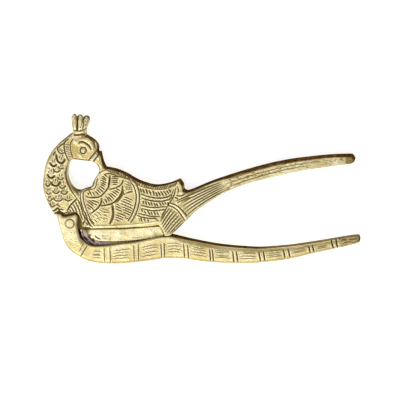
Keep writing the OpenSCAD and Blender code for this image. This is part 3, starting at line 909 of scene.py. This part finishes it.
def brass(name, pale, deep, patina=True):
    """Worn cast brass: pale where hands rub it and in painted highlights, olive in the cuts and in painted
    shade, dark brown on the sides as patina and painted shade.
    """
    material, tree, bsdf = nodes_of(name)
    broad = ramp(tree, noise(tree, 90, 5), 0.38, 0.66)
    colour = mix(tree, broad, pale, deep)
    fine = ramp(tree, noise(tree, 700, 6, 0.7), 0.5, 0.78, 0.0, 0.5)
    colour = mix(tree, fine, colour, (0.38, 0.29, 0.09))
    glint = ramp(tree, noise(tree, 1100, 4, 0.7), 0.56, 0.72, 0.0, 0.6)
    colour = mix(tree, glint, colour, (0.92, 0.84, 0.56))
    rough = ramp(tree, noise(tree, 260, 5, 0.65), 0.3, 0.75, 0.34, 0.52)
    if patina:
        gold = attribute(tree, "gold")
        colour = mix(tree, math_node(tree, "MULTIPLY", gold, 0.7), colour, (0.6, 0.43, 0.15))
        wear_and_highlight = math_node(tree, "MULTIPLY", attribute(tree, "worn"),
                           ramp(tree, noise(tree, 500, 4), 0.3, 0.6, 0.6, 1.0))
        colour = mix(tree, wear_and_highlight, colour, (0.97, 0.9, 0.63))
        ink = attribute(tree, "ink")
        olive = ramp(tree, ink, 0.08, 0.6)
        colour = mix(tree, olive, colour, (0.25, 0.175, 0.045))
        dark = ramp(tree, ink, 0.68, 1.05, 0.0, 0.9)
        colour = mix(tree, dark, colour, (0.035, 0.022, 0.006))
        # The wall attribute is patina and painted shade: brown on the sides, darkest on those that face up.
        wall = attribute(tree, "wall")
        blotch = ramp(tree, noise(tree, 320, 5, 0.7), 0.25, 0.6, 0.7, 1.0)
        side = math_node(tree, "MULTIPLY", wall, blotch)
        side = ramp(tree, side, 0.1, 0.75)
        brown = mix(tree, ramp(tree, noise(tree, 240, 5, 0.7), 0.42, 0.7),
                    (0.09, 0.037, 0.005), (0.3, 0.15, 0.034))
        colour = mix(tree, side, colour, brown)
        shine = math_node(tree, "SUBTRACT", 0.5, math_node(tree, "MAXIMUM", side, olive))
        tree.links.new(shine, bsdf.inputs["Specular IOR Level"])
        worn = math_node(tree, "MAXIMUM", olive, side)
        rough = math_node(tree, "ADD", rough, math_node(tree, "MULTIPLY", worn, 0.2))
        metal = tree.nodes.new("ShaderNodeMapRange")
        metal.inputs["To Min"].default_value = 0.92
        metal.inputs["To Max"].default_value = 0.0
        tree.links.new(worn, metal.inputs["Value"])
        tree.links.new(metal.outputs["Result"], bsdf.inputs["Metallic"])
    else:
        bsdf.inputs["Metallic"].default_value = 0.92
    tree.links.new(colour, bsdf.inputs["Base Color"])
    tree.links.new(rough, bsdf.inputs["Roughness"])
    grain = math_node(tree, "ADD", math_node(tree, "MULTIPLY", noise(tree, 420, 6, 0.7), 0.6),
                      math_node(tree, "MULTIPLY", noise(tree, 1800, 3, 0.6), 0.3))
    bump(tree, bsdf, grain, 0.6, 0.0004)
    return material


def stained_steel():
    """Ground steel, purple-grey with age: pale along painted highlight lines, near black in painted shade at
    the heel and under the jaw plate.
    """
    material, tree, bsdf = nodes_of("blade_steel")
    broad = ramp(tree, noise(tree, 160, 6, 0.7), 0.35, 0.7)
    colour = mix(tree, broad, (0.8, 0.63, 0.57), (0.42, 0.29, 0.26))
    colour = mix(tree, ramp(tree, noise(tree, 500, 5, 0.7), 0.5, 0.75, 0.0, 0.7), colour, (0.09, 0.05, 0.035))
    colour = mix(tree, attribute(tree, "worn"), colour, (0.9, 0.74, 0.66))
    colour = mix(tree, attribute(tree, "gold"), colour, (0.7, 0.56, 0.24))
    # Painted shade from the ink attribute, near black.
    gap_shade = ramp(tree, attribute(tree, "ink"), 0.1, 1.0, 0.0, 0.95)
    colour = mix(tree, gap_shade, colour, (0.035, 0.018, 0.012))
    tree.links.new(colour, bsdf.inputs["Base Color"])
    tree.links.new(math_node(tree, "SUBTRACT", 0.4, gap_shade), bsdf.inputs["Specular IOR Level"])
    bsdf.inputs["Metallic"].default_value = 0.25
    tree.links.new(ramp(tree, noise(tree, 300, 5), 0.3, 0.7, 0.45, 0.65), bsdf.inputs["Roughness"])
    bump(tree, bsdf, noise(tree, 900, 6, 0.7, (0.3, 1, 1)), 0.3, 0.0003)
    return material


brass_bird = brass("peacock_brass", (0.72, 0.6, 0.28), (0.52, 0.4, 0.14))
brass_lower = brass("lower_brass", (0.78, 0.655, 0.325), (0.59, 0.46, 0.17))
brass_pin = brass("pin_brass", (0.8, 0.7, 0.43), (0.64, 0.53, 0.27), patina=False)
brass_rivet = brass("rivet_brass", (0.8, 0.68, 0.38), (0.55, 0.42, 0.18), patina=False)
steel = stained_steel()


# Upper lever: the bird, then the lug and jaw plate below it


def spots(co, plain, marks):
    """A value at each point: plain, or near a mark (picture x, y, reach in pixels, value) the mark's own."""
    out = np.full(len(co), float(plain))
    for mark in marks.split(","):
        x, y, reach, value = map(float, mark.split())
        away = ((co - near_face([(x, y)])[0]) ** 2).sum(1)
        out += (value - out) * np.exp(-away / (reach * MM_PER_PIXEL) ** 2)
    return out


def spread_tone(co, gap, rim_tones, rim_points, reach):
    """The tone of the side walls, patina and painted shade, creeping over the edge by reach."""
    out = np.zeros(len(co))
    reach = np.broadcast_to(reach, len(co))
    close = np.where(gap < reach)[0]
    tree = tree_of(co[rim_points])
    k = [tree.find((x, y, 0))[1] for x, y in co[close]]
    out[close] = rim_tones[rim_points[k]] * smooth(-gap[close], -reach[close], 0)
    return out


# Loops below these areas in mm2 are specks of the section
BIRD_SPECK, LOWER_SPECK, BLADE_SPECK = 10, 5, 2
# Steps between the points of each face's mesh
BIRD_STEP, PLATE_STEP, LOWER_STEP, BLADE_STEP = 0.28, 0.3, 0.26, 0.4
# Heights in mm at which outlines are cut from the CAD nodes
BIRD_Z, PLATE_Z, LOWER_Z, WEB_Z = 6.9, 6.1, 7.6, 6.4
# Gaps in from the rim at which the faces get rings of points
OFFSETS = (0.09, 0.24, 0.48, 0.85, 1.25)
bird_loops = [resample(p, 0.42, True) for p in section("peacock_lever", BIRD_Z) if abs(area(p)) > BIRD_SPECK]
chasing = bird_chasing()
co, faces = mesh_of(bird_loops, chasing, BIRD_STEP, OFFSETS)
bird_rim = Rim(bird_loops)
gap = np.maximum(bird_rim.gap(co), 0)
soft = spots(co, 0.5, """
    84 148 15 3, 50 180 16 2.6, 56 158 10 2.4, 55 200 12 2.2, 101 160 6 2, 340 164 20 .7, 67 174 9 1.3, 74
    190 6 1.2""")
crest_line = near_face([(80, 134.8)])[0, 1]
on_crest = smooth(co[:, 1], crest_line - 0.5, crest_line + 0.4)
soft = soft * (1 - on_crest) + 1.2 * on_crest
raised, cut, ink, worn = chasing.apply(co)
height = TOP - (TOP - CREST_TOP) * on_crest - fillet(gap, soft)
height = np.minimum(height + raised * smooth(gap, 0, 1.2) - cut * smooth(gap, 0.0, 0.5), TOP + 0.2)
bird_edges = rim_edges(faces)
along_tip = near_face(picture("343 158 347 158 351 158 353.6 158"))[:, 0]
ink = np.maximum(ink, 0.42 * smooth(co[:, 0], along_tip[0], along_tip[1]))
ink = np.maximum(ink, 0.95 * smooth(co[:, 0], along_tip[2], along_tip[3]))


def bird_side(n, at):
    """Wall tone by outward direction and place, patina and painted shade: darkest on top, paler round the loop
    and on the crest.
    """
    beak = smooth(at[:, 0], 11, 15) * smooth(at[:, 1], 33, 36)
    hole = (smooth(at[:, 0], -4, -1) * smooth(-at[:, 0], -20, -16)
            * smooth(at[:, 1], 17, 19) * smooth(-at[:, 1], -41, -39))
    crest = smooth(at[:, 1], 53.5, 55)
    tone = np.clip(0.35 + (0.75 - 0.35 * hole) * n[:, 1] + (0.1 + 0.5 * beak - 0.2 * hole) * n[:, 0], 0.1, 1.0)
    return tone * (1 - 0.35 * crest)


tone = rim_tone(co, bird_edges, bird_side)
pale = spots(co, 0.0, "94 143 6 .9, 68 176 10 1, 82 188 9 .7, 78 118 8 .7")
rope = spots(co, 0.0, """
    110 171 6 .9, 120 174 6 .9, 130 178 6 .9, 139 184 6 .9, 149 187 6 .9, 160 188 6 .9, 171 186 6 .9""")
rim_points = np.unique(bird_edges)
wall = spread_tone(co, gap, tone, rim_points, 0.6) * (1 - 0.8 * np.maximum(pale, rope))
# Along the handle the walls' tone, patina and painted shade, creeps further over the edges, up to 1.7 mm.
handle = near_face(picture("205 190 235 180 250 175 330 160"))[:, 0]
wall = np.maximum(wall, spread_tone(co, gap, tone, rim_points, 1.7 - 0.55 * smooth(co[:, 0], *handle[2:]))
                  * smooth(co[:, 0], *handle[:2]))
# Painted shade on the faces just inside the edges that face left, as in the gap beside the cheek.
left = rim_tone(co, bird_edges, lambda n, at: np.clip(-n[:, 0], 0, 1))
ink = np.maximum(ink, 0.55 * spread_tone(co, gap, left, rim_points, 0.5))
gold = spots(co, 0.0, "84 148 13 1.1, 300 166 60 .2, 101 160 7 .5, 181 186 6 .6")
# Pale spots: wear, and painted highlights such as the spots on the head at 76 142 and on the crest at 74 118.
wear_and_highlight = spots(co, 0.0, """
    50 172 8 .75, 58 158 7 .5, 157 189 4 .6, 106 190 8 .35, 150 212 9 .3, 178 216 8 .3, 74 118 4 .5, 50 192
    5 .4, 76 142 3 .6, 230 185 30 .5, 290 168 35 .6, 336 161 8 .8, 98 226 8 .35, 166 228 5 .4""")
worn = np.maximum(worn, wear_and_highlight * (1 - np.clip(ink, 0, 1)))
shell = Shell()
shell.faces_both(co, faces, TOP - height, height, ink, wall, gold, worn)
wall_between(shell, co, bird_edges, TOP - height, height, 6, tone, pale)
shell.build("peacock", "upper", ["peacock_lever"], brass_bird)

whole = section("peacock_lever", PLATE_Z)
outer = whole[0] if area(whole[0]) > 0 else whole[0][::-1]
outer = resample(outer, 0.5, True)


def bare_run(line, edge, clear):
    """The run of a closed line that stays clear of a rim, from its first point to its last."""
    bare = np.abs(edge.gap(line)) > clear
    start = int(np.where(bare & ~np.roll(bare, 1))[0][0])
    line, bare = np.roll(line, -start, 0), np.roll(bare, -start)
    return line[:int(np.argmin(bare))]


run = bare_run(outer, bird_rim, 0.06)
hidden = picture("54.5 .2 45 .8 28 .6 11 1.2 8 4 5 9 -3 11 -8.6 8.4")
plate = np.vstack([run, hidden if run[-1][0] > run[0][0] else hidden[::-1]])
bores = [resample(p, 0.35, True) for p in whole[1:] if 8 < abs(area(p)) < 14 and np.linalg.norm(p.mean(0)) < 1]
plate_loops = [resample(plate, 0.45, True)] + bores
chasing = Chasing()
# The first six rows paint shade in the gap between the chest and the cheek as ragged dark cuts; the last five
# are olive stains on the plate.
for _, (half, dark), line in table("""
    .4 .95: 54.6 211.6 57 210.6 59.6 212.2 62.4 213.8 65.6 213.4 68.6 211.6;
    .36 .8: 58 208.6 60.4 210.4 63.4 210.2;
    .34 .8: 66.4 210 67.6 213.4;
    .36 .9: 70.2 208.6 69 212.4 67.2 214.8;
    .34 .8: 72.6 209.4 71.2 213.4;
    .34 .8: 75.4 209.6 74.2 213.2;
    .5 .3: 100 235.4 103.4 236.4 108 236.2;
    .6 .6: 94 235.8 96.6 238.6 100.4 240.2;
    .5 .25: 118 229.6 121.4 231.4;
    .5 .3: 131 237.8 136 238.4 141 237.4;
    .5 .3: 149 229.8 151.6 231"""):
    chasing.cut(line, half, 0.25 * dark, dark)
co, faces = mesh_of(plate_loops, chasing, PLATE_STEP, (0.12, 0.32, 0.65, 1.1, 1.6))
gap = np.maximum(Rim(plate_loops).gap(co), 0)
hollow = np.zeros(len(co))
for _ in range(34):
    centre = (rng.uniform(9, 57), rng.uniform(-12, -3))
    away = ((co - centre) ** 2).sum(1)
    hollow += rng.uniform(-0.16, 0.14) * np.exp(-away / rng.uniform(0.8, 3) ** 2)
height = PLATE_TOP - fillet(gap, 1.1) + hollow * smooth(gap, 0.3, 1.5) * smooth(co[:, 0], 7, 10)
# Where the painted shadow under the wing's lower border runs on the plate.
wing_shadow_y = np.interp(co[:, 0], [9, 32, 54], [-3.7, -3.5, -1.7])
_, cut, ink, worn = chasing.apply(co)
height -= cut
# Painted shadow under the wing's lower border: a dark band about 1 mm each side of that line.
ink = np.maximum(ink, 0.95 * smooth(-np.abs(co[:, 1] - wing_shadow_y), -1.0, -0.1))
# Painted shade at the plate's left end, about 7 to 13 mm from the pivot.
ink = np.maximum(ink, 0.5 * smooth(-co[:, 0], -13.5, -9.5) * smooth(co[:, 0], 6.5, 8))
# Painted shade in the gap along the cheek's rim: a dark band on the plate beside it, wider from 2.5 mm right of
# the pivot.
cheek_rim = near_face(curve(picture("""
    57 213.4 63.6 216.6 70 215.6 74.7 214 77 215.1 77.7 219 77.3 225 78.1 230.8 79.3 234.9 82.3 240.1 87.5
    244.1 92 246"""), 30))
gap_shade = 1.5 + 1.7 * smooth(co[:, 0], 2.5, 4.5)
ink = np.maximum(ink, 0.84 * smooth(-gap_to_line(co, cheek_rim) / gap_shade, -1.0, -0.5))
edges = rim_edges(faces)
tone = rim_tone(co, edges, lambda n, at: np.full(len(n), 0.6))
# Painted shade at the plate's corner by the heel, the spots left of 94 px; olive stains further right.
ink = np.maximum(ink, spots(co, 0.0, """
    82.5 231 4 .75, 84 236 3 .6, 85.6 229.6 2.6 .95, 89.6 229 2 .8, 93 228.6 1.6 .6, 89.2 236.2 1.1 1, 92.6
    240.2 1.3 1, 109 239.8 2.4 .3, 121 234 3 .25, 146 231 3 .2, 155 235 3 .25"""))
worn = np.clip(worn + 0.35 + 0.5 * smooth(hollow, -0.05, 0.12), 0, 1)
shell = Shell()
shell.faces_both(co, faces, TOP - height, height, ink, 0, 0, worn)
wall_between(shell, co, edges, TOP - height, height, 3, tone)
shell.build("jaw_plate", "upper", ["peacock_lever"], brass_bird)


# Lower lever, with its fork and blade channel

full = [resample(p, 0.4 if k == 0 else 0.3, True)
        for k, p in enumerate(p for p in section("lower_lever", LOWER_Z) if abs(area(p)) > LOWER_SPECK)]
web = section("lower_lever", WEB_Z)[0]
slot_line = bare_run(resample(web, 0.3, True), Rim(full[:1]), 0.08)


def onto_rim(point, loop):
    return loop[((loop - point) ** 2).sum(1).argmin()]


slot_line = np.vstack([onto_rim(slot_line[0], full[0]), slot_line, onto_rim(slot_line[-1], full[0])])
chasing = lower_chasing()
co, faces = mesh_of(full, chasing, LOWER_STEP, OFFSETS, [slot_line])
gap = np.maximum(Rim(full[:1]).gap(co), 0)
is_web = Rim([web]).gap(co[faces].mean(1)) > 0

# The bottom edge is worn to a broad rounding, and so is the top edge behind the fork
top_line = near_face(curve(LOWER_TOP[:5] + LOWER_TOP[6::2], 40))
low_line = near_face(curve(picture("60 228 66 243 73.5 251 82 256.6 98 261.5") + LOWER_LOW[1::2], 40))
lean = smooth(gap_to_line(co, top_line) - gap_to_line(co, low_line), -1.5, 1.5)
cheek = smooth(-np.linalg.norm(co - near_face([(68, 226)])[0], axis=1), -14, -8)
behind = smooth(co[:, 0], 55, 75)
soft = (0.6 + 1.7 * behind) * (1 - lean) + 2.7 * lean * (1 - 0.5 * cheek)
raised, cut, ink, worn = chasing.apply(co)
height = TOP - fillet(gap, soft) + raised - cut * smooth(gap, 0, 0.5)
from_pivot = np.linalg.norm(co, axis=1)
seat = smooth(-from_pivot, -RECESS_R - 0.06, -RECESS_R + 0.06)
height = height * (1 - seat) + HEAD_SEAT * seat
# A dark ring round the rivet head: olive in the groove round it, with painted shade darkest on the upper right.
facing = (co[:, 0] + co[:, 1]) / np.maximum(from_pivot, 1) / math.sqrt(2)
ink = np.maximum(ink, (0.6 + 0.45 * facing) * smooth(-np.abs(from_pivot - 2.65), -0.5, 0))

outer_edges = rim_edges(faces)
# Patina and painted shade on the lower lever's sides: darker on the sides that face up and to the right, the
# top less so past 95 to 125 mm, and all lighter between 24 and 54 mm.
tone = rim_tone(co, outer_edges, lambda n, at: np.clip(
    0.3 + (0.7 - 0.45 * smooth(at[:, 0], 95, 125)) * n[:, 1] + 0.2 * n[:, 0], 0.0, 1.0)
    * (1 - 0.65 * smooth(at[:, 0], 17, 24) * smooth(-at[:, 0], -60, -54)))
rim_points = np.unique(outer_edges)
wall = spread_tone(co, gap, tone, rim_points, 0.35)
# Painted shade on the faces just inside the edges that face left, on the fork and cheek.
left = rim_tone(co, outer_edges, lambda n, at: np.clip(-n[:, 0], 0, 1) * smooth(at[:, 1], -22, -14))
ink = np.maximum(ink, 0.75 * spread_tone(co, gap, left, rim_points, 0.5))
along_tip = near_face(picture("338 243 342 242 357.6 238 359.6 238"))[:, 0]
tip = smooth(co[:, 0], along_tip[0], along_tip[1])
wall = np.maximum(wall, 0.34 * tip)
ink = np.maximum(ink, 0.2 * tip)
ink = np.maximum(ink, 0.85 * smooth(co[:, 0], along_tip[2], along_tip[3]))
wear_and_highlight = spots(co, 0.0, "61 218 5 .5, 118 247 8 .6, 147 247 8 .4, 172 240 6 .5, 230 252 20 .3")
worn = np.maximum(worn, np.maximum(0.4 * cheek, wear_and_highlight) * (1 - np.clip(ink, 0, 1)))
# Painted light: the bottom rounding golden as its lit side, from 16 mm along; and the tip's golden tone.
gold = np.maximum(0.8 * smooth(-gap, -3.2, -0.6) * lean * smooth(co[:, 0], 0, 16), tip)
shell = Shell()
shell.faces_both(co, faces, TOP - height, height, ink, wall, gold, worn)
slot_faces = faces[~is_web]
flat = np.full(len(co), SLOT_TOP)
deep = np.full(len(co), TOP - SLOT_TOP)
# Painted shade on the floor of the slot: ink 0.5 and wall tone 0.8.
shell.faces_both(co, slot_faces[:, ::-1], deep, flat, 0.5, 0.8)
rim = {tuple(e) for e in outer_edges}
web_rim = rim_edges(faces[is_web])
outer_web = np.array([tuple(e) in rim for e in web_rim])
slot_rim = rim_edges(slot_faces)
slot_rim = slot_rim[[tuple(e) in rim for e in slot_rim]]
wall_between(shell, co, web_rim[outer_web], TOP - height, deep, 1, tone)
wall_between(shell, co, web_rim[outer_web], deep, flat, 3, tone)
wall_between(shell, co, web_rim[outer_web], flat, height, 1, tone)
wall_between(shell, co, slot_rim, TOP - height, deep, 1, tone)
wall_between(shell, co, slot_rim, flat, height, 1, tone)
# Painted shade on the walls inside the slot, tone 0.9.
wall_between(shell, co, web_rim[~outer_web], deep, flat, 3, np.full(len(co), 0.9))
shell.build("lower_bar", "lower", ["lower_lever"], brass_lower)

# Blade: ground down to its edge on both sides, with painted shade at the heel and under the jaw plate


def dense(line, step):
    """A closed line with points added along its sides and its corners kept."""
    out = []
    for a, b in zip(line, np.roll(line, -1, 0)):
        n = max(1, math.ceil(np.linalg.norm(b - a) / step))
        out += [a + (b - a) * k / n for k in range(n)]
    return np.array(out)


MID = TOP / 2
EDGE_HEEL, EDGE_TOE = np.array([12, -17.4]), np.array([57, -12.9])
EDGE_T, BLADE_T, BEVEL_H = 0.4, 2.0, 2.6
blade_loops = [dense(p, 0.35) for p in section("cutting_blade", MID) if abs(area(p)) > BLADE_SPECK]
chasing = Chasing()
# Dark cuts paint the shade in the gaps at the heel; the raised strokes paint highlight lines.
for _, (half, height, dark), line in table("""
    .4 -.05 .7: 81.8 229 82.8 233 83.8 236;
    1 -.1 1: 83.2 236.4 85.2 238.2 87.8 240.4;
    .9 -.1 1: 88.4 234.4 89.2 236.6 90.6 238.4;
    .8 -.1 1: 90.6 238.6 92.6 240.4 94.6 242;
    .7 -.05 .9: 88.6 241.6 91 243.6 93.6 245;
    .5 -.05 .9: 96.8 244 97.8 244.6;
    .5 -.05 .9: 99.2 241 100.6 241.6;
    .4 -.05 .7: 101.4 242 102.4 242.4;
    .4 .05 0: 82.6 230 83.4 233.4 84.8 236;
    .5 .05 0: 84.8 232 86.6 235 88 236.8;
    .5 .05 0: 87.6 238.4 90.4 240.8 93.4 242.8;
    .9 .05 0: 95 243 99 243.4 105 243.6"""):
    chasing.add(near_face(curve(line), MID + BLADE_T / 2), half, height, dark, 0.6)
co, faces = mesh_of(blade_loops, chasing, BLADE_STEP, (0.1, 0.3, 0.6))
ink, worn = chasing.apply(co)[2:]
along = (EDGE_TOE - EDGE_HEEL) / np.linalg.norm(EDGE_TOE - EDGE_HEEL)
above_edge = (co - EDGE_HEEL) @ np.array([-along[1], along[0]])
half = np.clip((EDGE_T + (BLADE_T - EDGE_T) * above_edge / BEVEL_H) / 2, EDGE_T / 2, BLADE_T / 2)
gold = smooth(co[:, 0], 20, 27)
# Painted shade further along, in the gap under the jaw plate.
ink = np.maximum(ink, 0.3 * smooth(co[:, 0], 30, 45))
edges = rim_edges(faces)
shell = Shell()
shell.faces_both(co, faces, MID - half, MID + half, ink, 0, gold, worn)
wall_between(shell, co, edges, MID - half, MID + half, 2, np.zeros(len(co)))
shell.build("blade", "upper", ["cutting_blade"], steel)

# The rivets and the pin keep their CAD shapes
for node, material in (("blade_rivets", brass_rivet), ("pivot_pin", brass_pin)):
    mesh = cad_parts[node].data
    mesh.materials.clear()
    mesh.materials.append(material)


# Floor, light and camera

FLOOR_GLOW = 0.7
WORLD_LIGHT = 0.5
FLOOR_SIZE = 3.0
# A little below the part's rest face
FLOOR_Z = -0.0003


def floor_material():
    """White ground: lit by the lamps, and white by itself to the eye and in reflections."""
    material, tree, bsdf = nodes_of("floor_white")
    bsdf.inputs["Base Color"].default_value = (0.88, 0.88, 0.88, 1)
    bsdf.inputs["Roughness"].default_value = 0.9
    bsdf.inputs["Specular IOR Level"].default_value = 0.1
    path = tree.nodes.new("ShaderNodeLightPath")
    seen = path.outputs["Is Camera Ray"]
    for ray in ("Is Glossy Ray", "Is Transmission Ray"):
        seen = math_node(tree, "MAXIMUM", seen, path.outputs[ray])
    glow = tree.nodes.new("ShaderNodeMath")
    glow.operation = "MULTIPLY"
    glow.inputs[1].default_value = FLOOR_GLOW
    tree.links.new(seen, glow.inputs[0])
    bsdf.inputs["Emission Color"].default_value = (1, 1, 1, 1)
    tree.links.new(glow.outputs[0], bsdf.inputs["Emission Strength"])
    return material


bpy.ops.mesh.primitive_plane_add(size=FLOOR_SIZE, location=(0, 0, FLOOR_Z))
floor = bpy.context.object
floor.name = "floor"
floor.data.materials.append(floor_material())

world = bpy.data.worlds.new("studio")
bpy.context.scene.world = world
world.use_nodes = True
world.node_tree.nodes["Background"].inputs["Color"].default_value = (1, 1, 1, 1)
# Past the floor's edge the camera sees white, while the part gets no more light for it
path = world.node_tree.nodes.new("ShaderNodeLightPath")
strength = math_node(world.node_tree, "MAXIMUM", path.outputs["Is Camera Ray"], WORLD_LIGHT)
world.node_tree.links.new(strength, world.node_tree.nodes["Background"].inputs["Strength"])


def placed(axes, at):
    """World matrix of an object with these axes at a place."""
    return Matrix([[*row, p] for row, p in zip(np.column_stack(axes), at)] + [[0, 0, 0, 1]])


def lamp(name, direction, distance, size, watts):
    """A soft square lamp that looks at the part from a direction."""
    light = bpy.data.lights.new(name, "AREA")
    light.shape = "SQUARE"
    light.size = size
    light.energy = watts
    obj = bpy.data.objects.new(name, light)
    bpy.context.scene.collection.objects.link(obj)
    d = np.array(direction, float)
    d /= np.linalg.norm(d)
    x = np.cross([0, 1, 0.01], d)
    x /= np.linalg.norm(x)
    obj.matrix_world = placed([x, np.cross(d, x), d], d * distance)


lamp("key", direction=(-0.45, -0.6, 0.8), distance=1.2, size=1.0, watts=7.0)

camera_data = bpy.data.cameras.new("camera")
camera_data.sensor_width = SENSOR
camera_data.lens = FOCAL * SENSOR / PICTURE
camera_data.clip_start = 0.1
camera = bpy.data.objects.new("camera", camera_data)
bpy.context.scene.collection.objects.link(camera)
camera.matrix_world = placed([RIGHT, UP, VIEW], metres([EYE])[0])
bpy.context.scene.camera = camera
bpy.context.scene.view_settings.view_transform = "Standard"
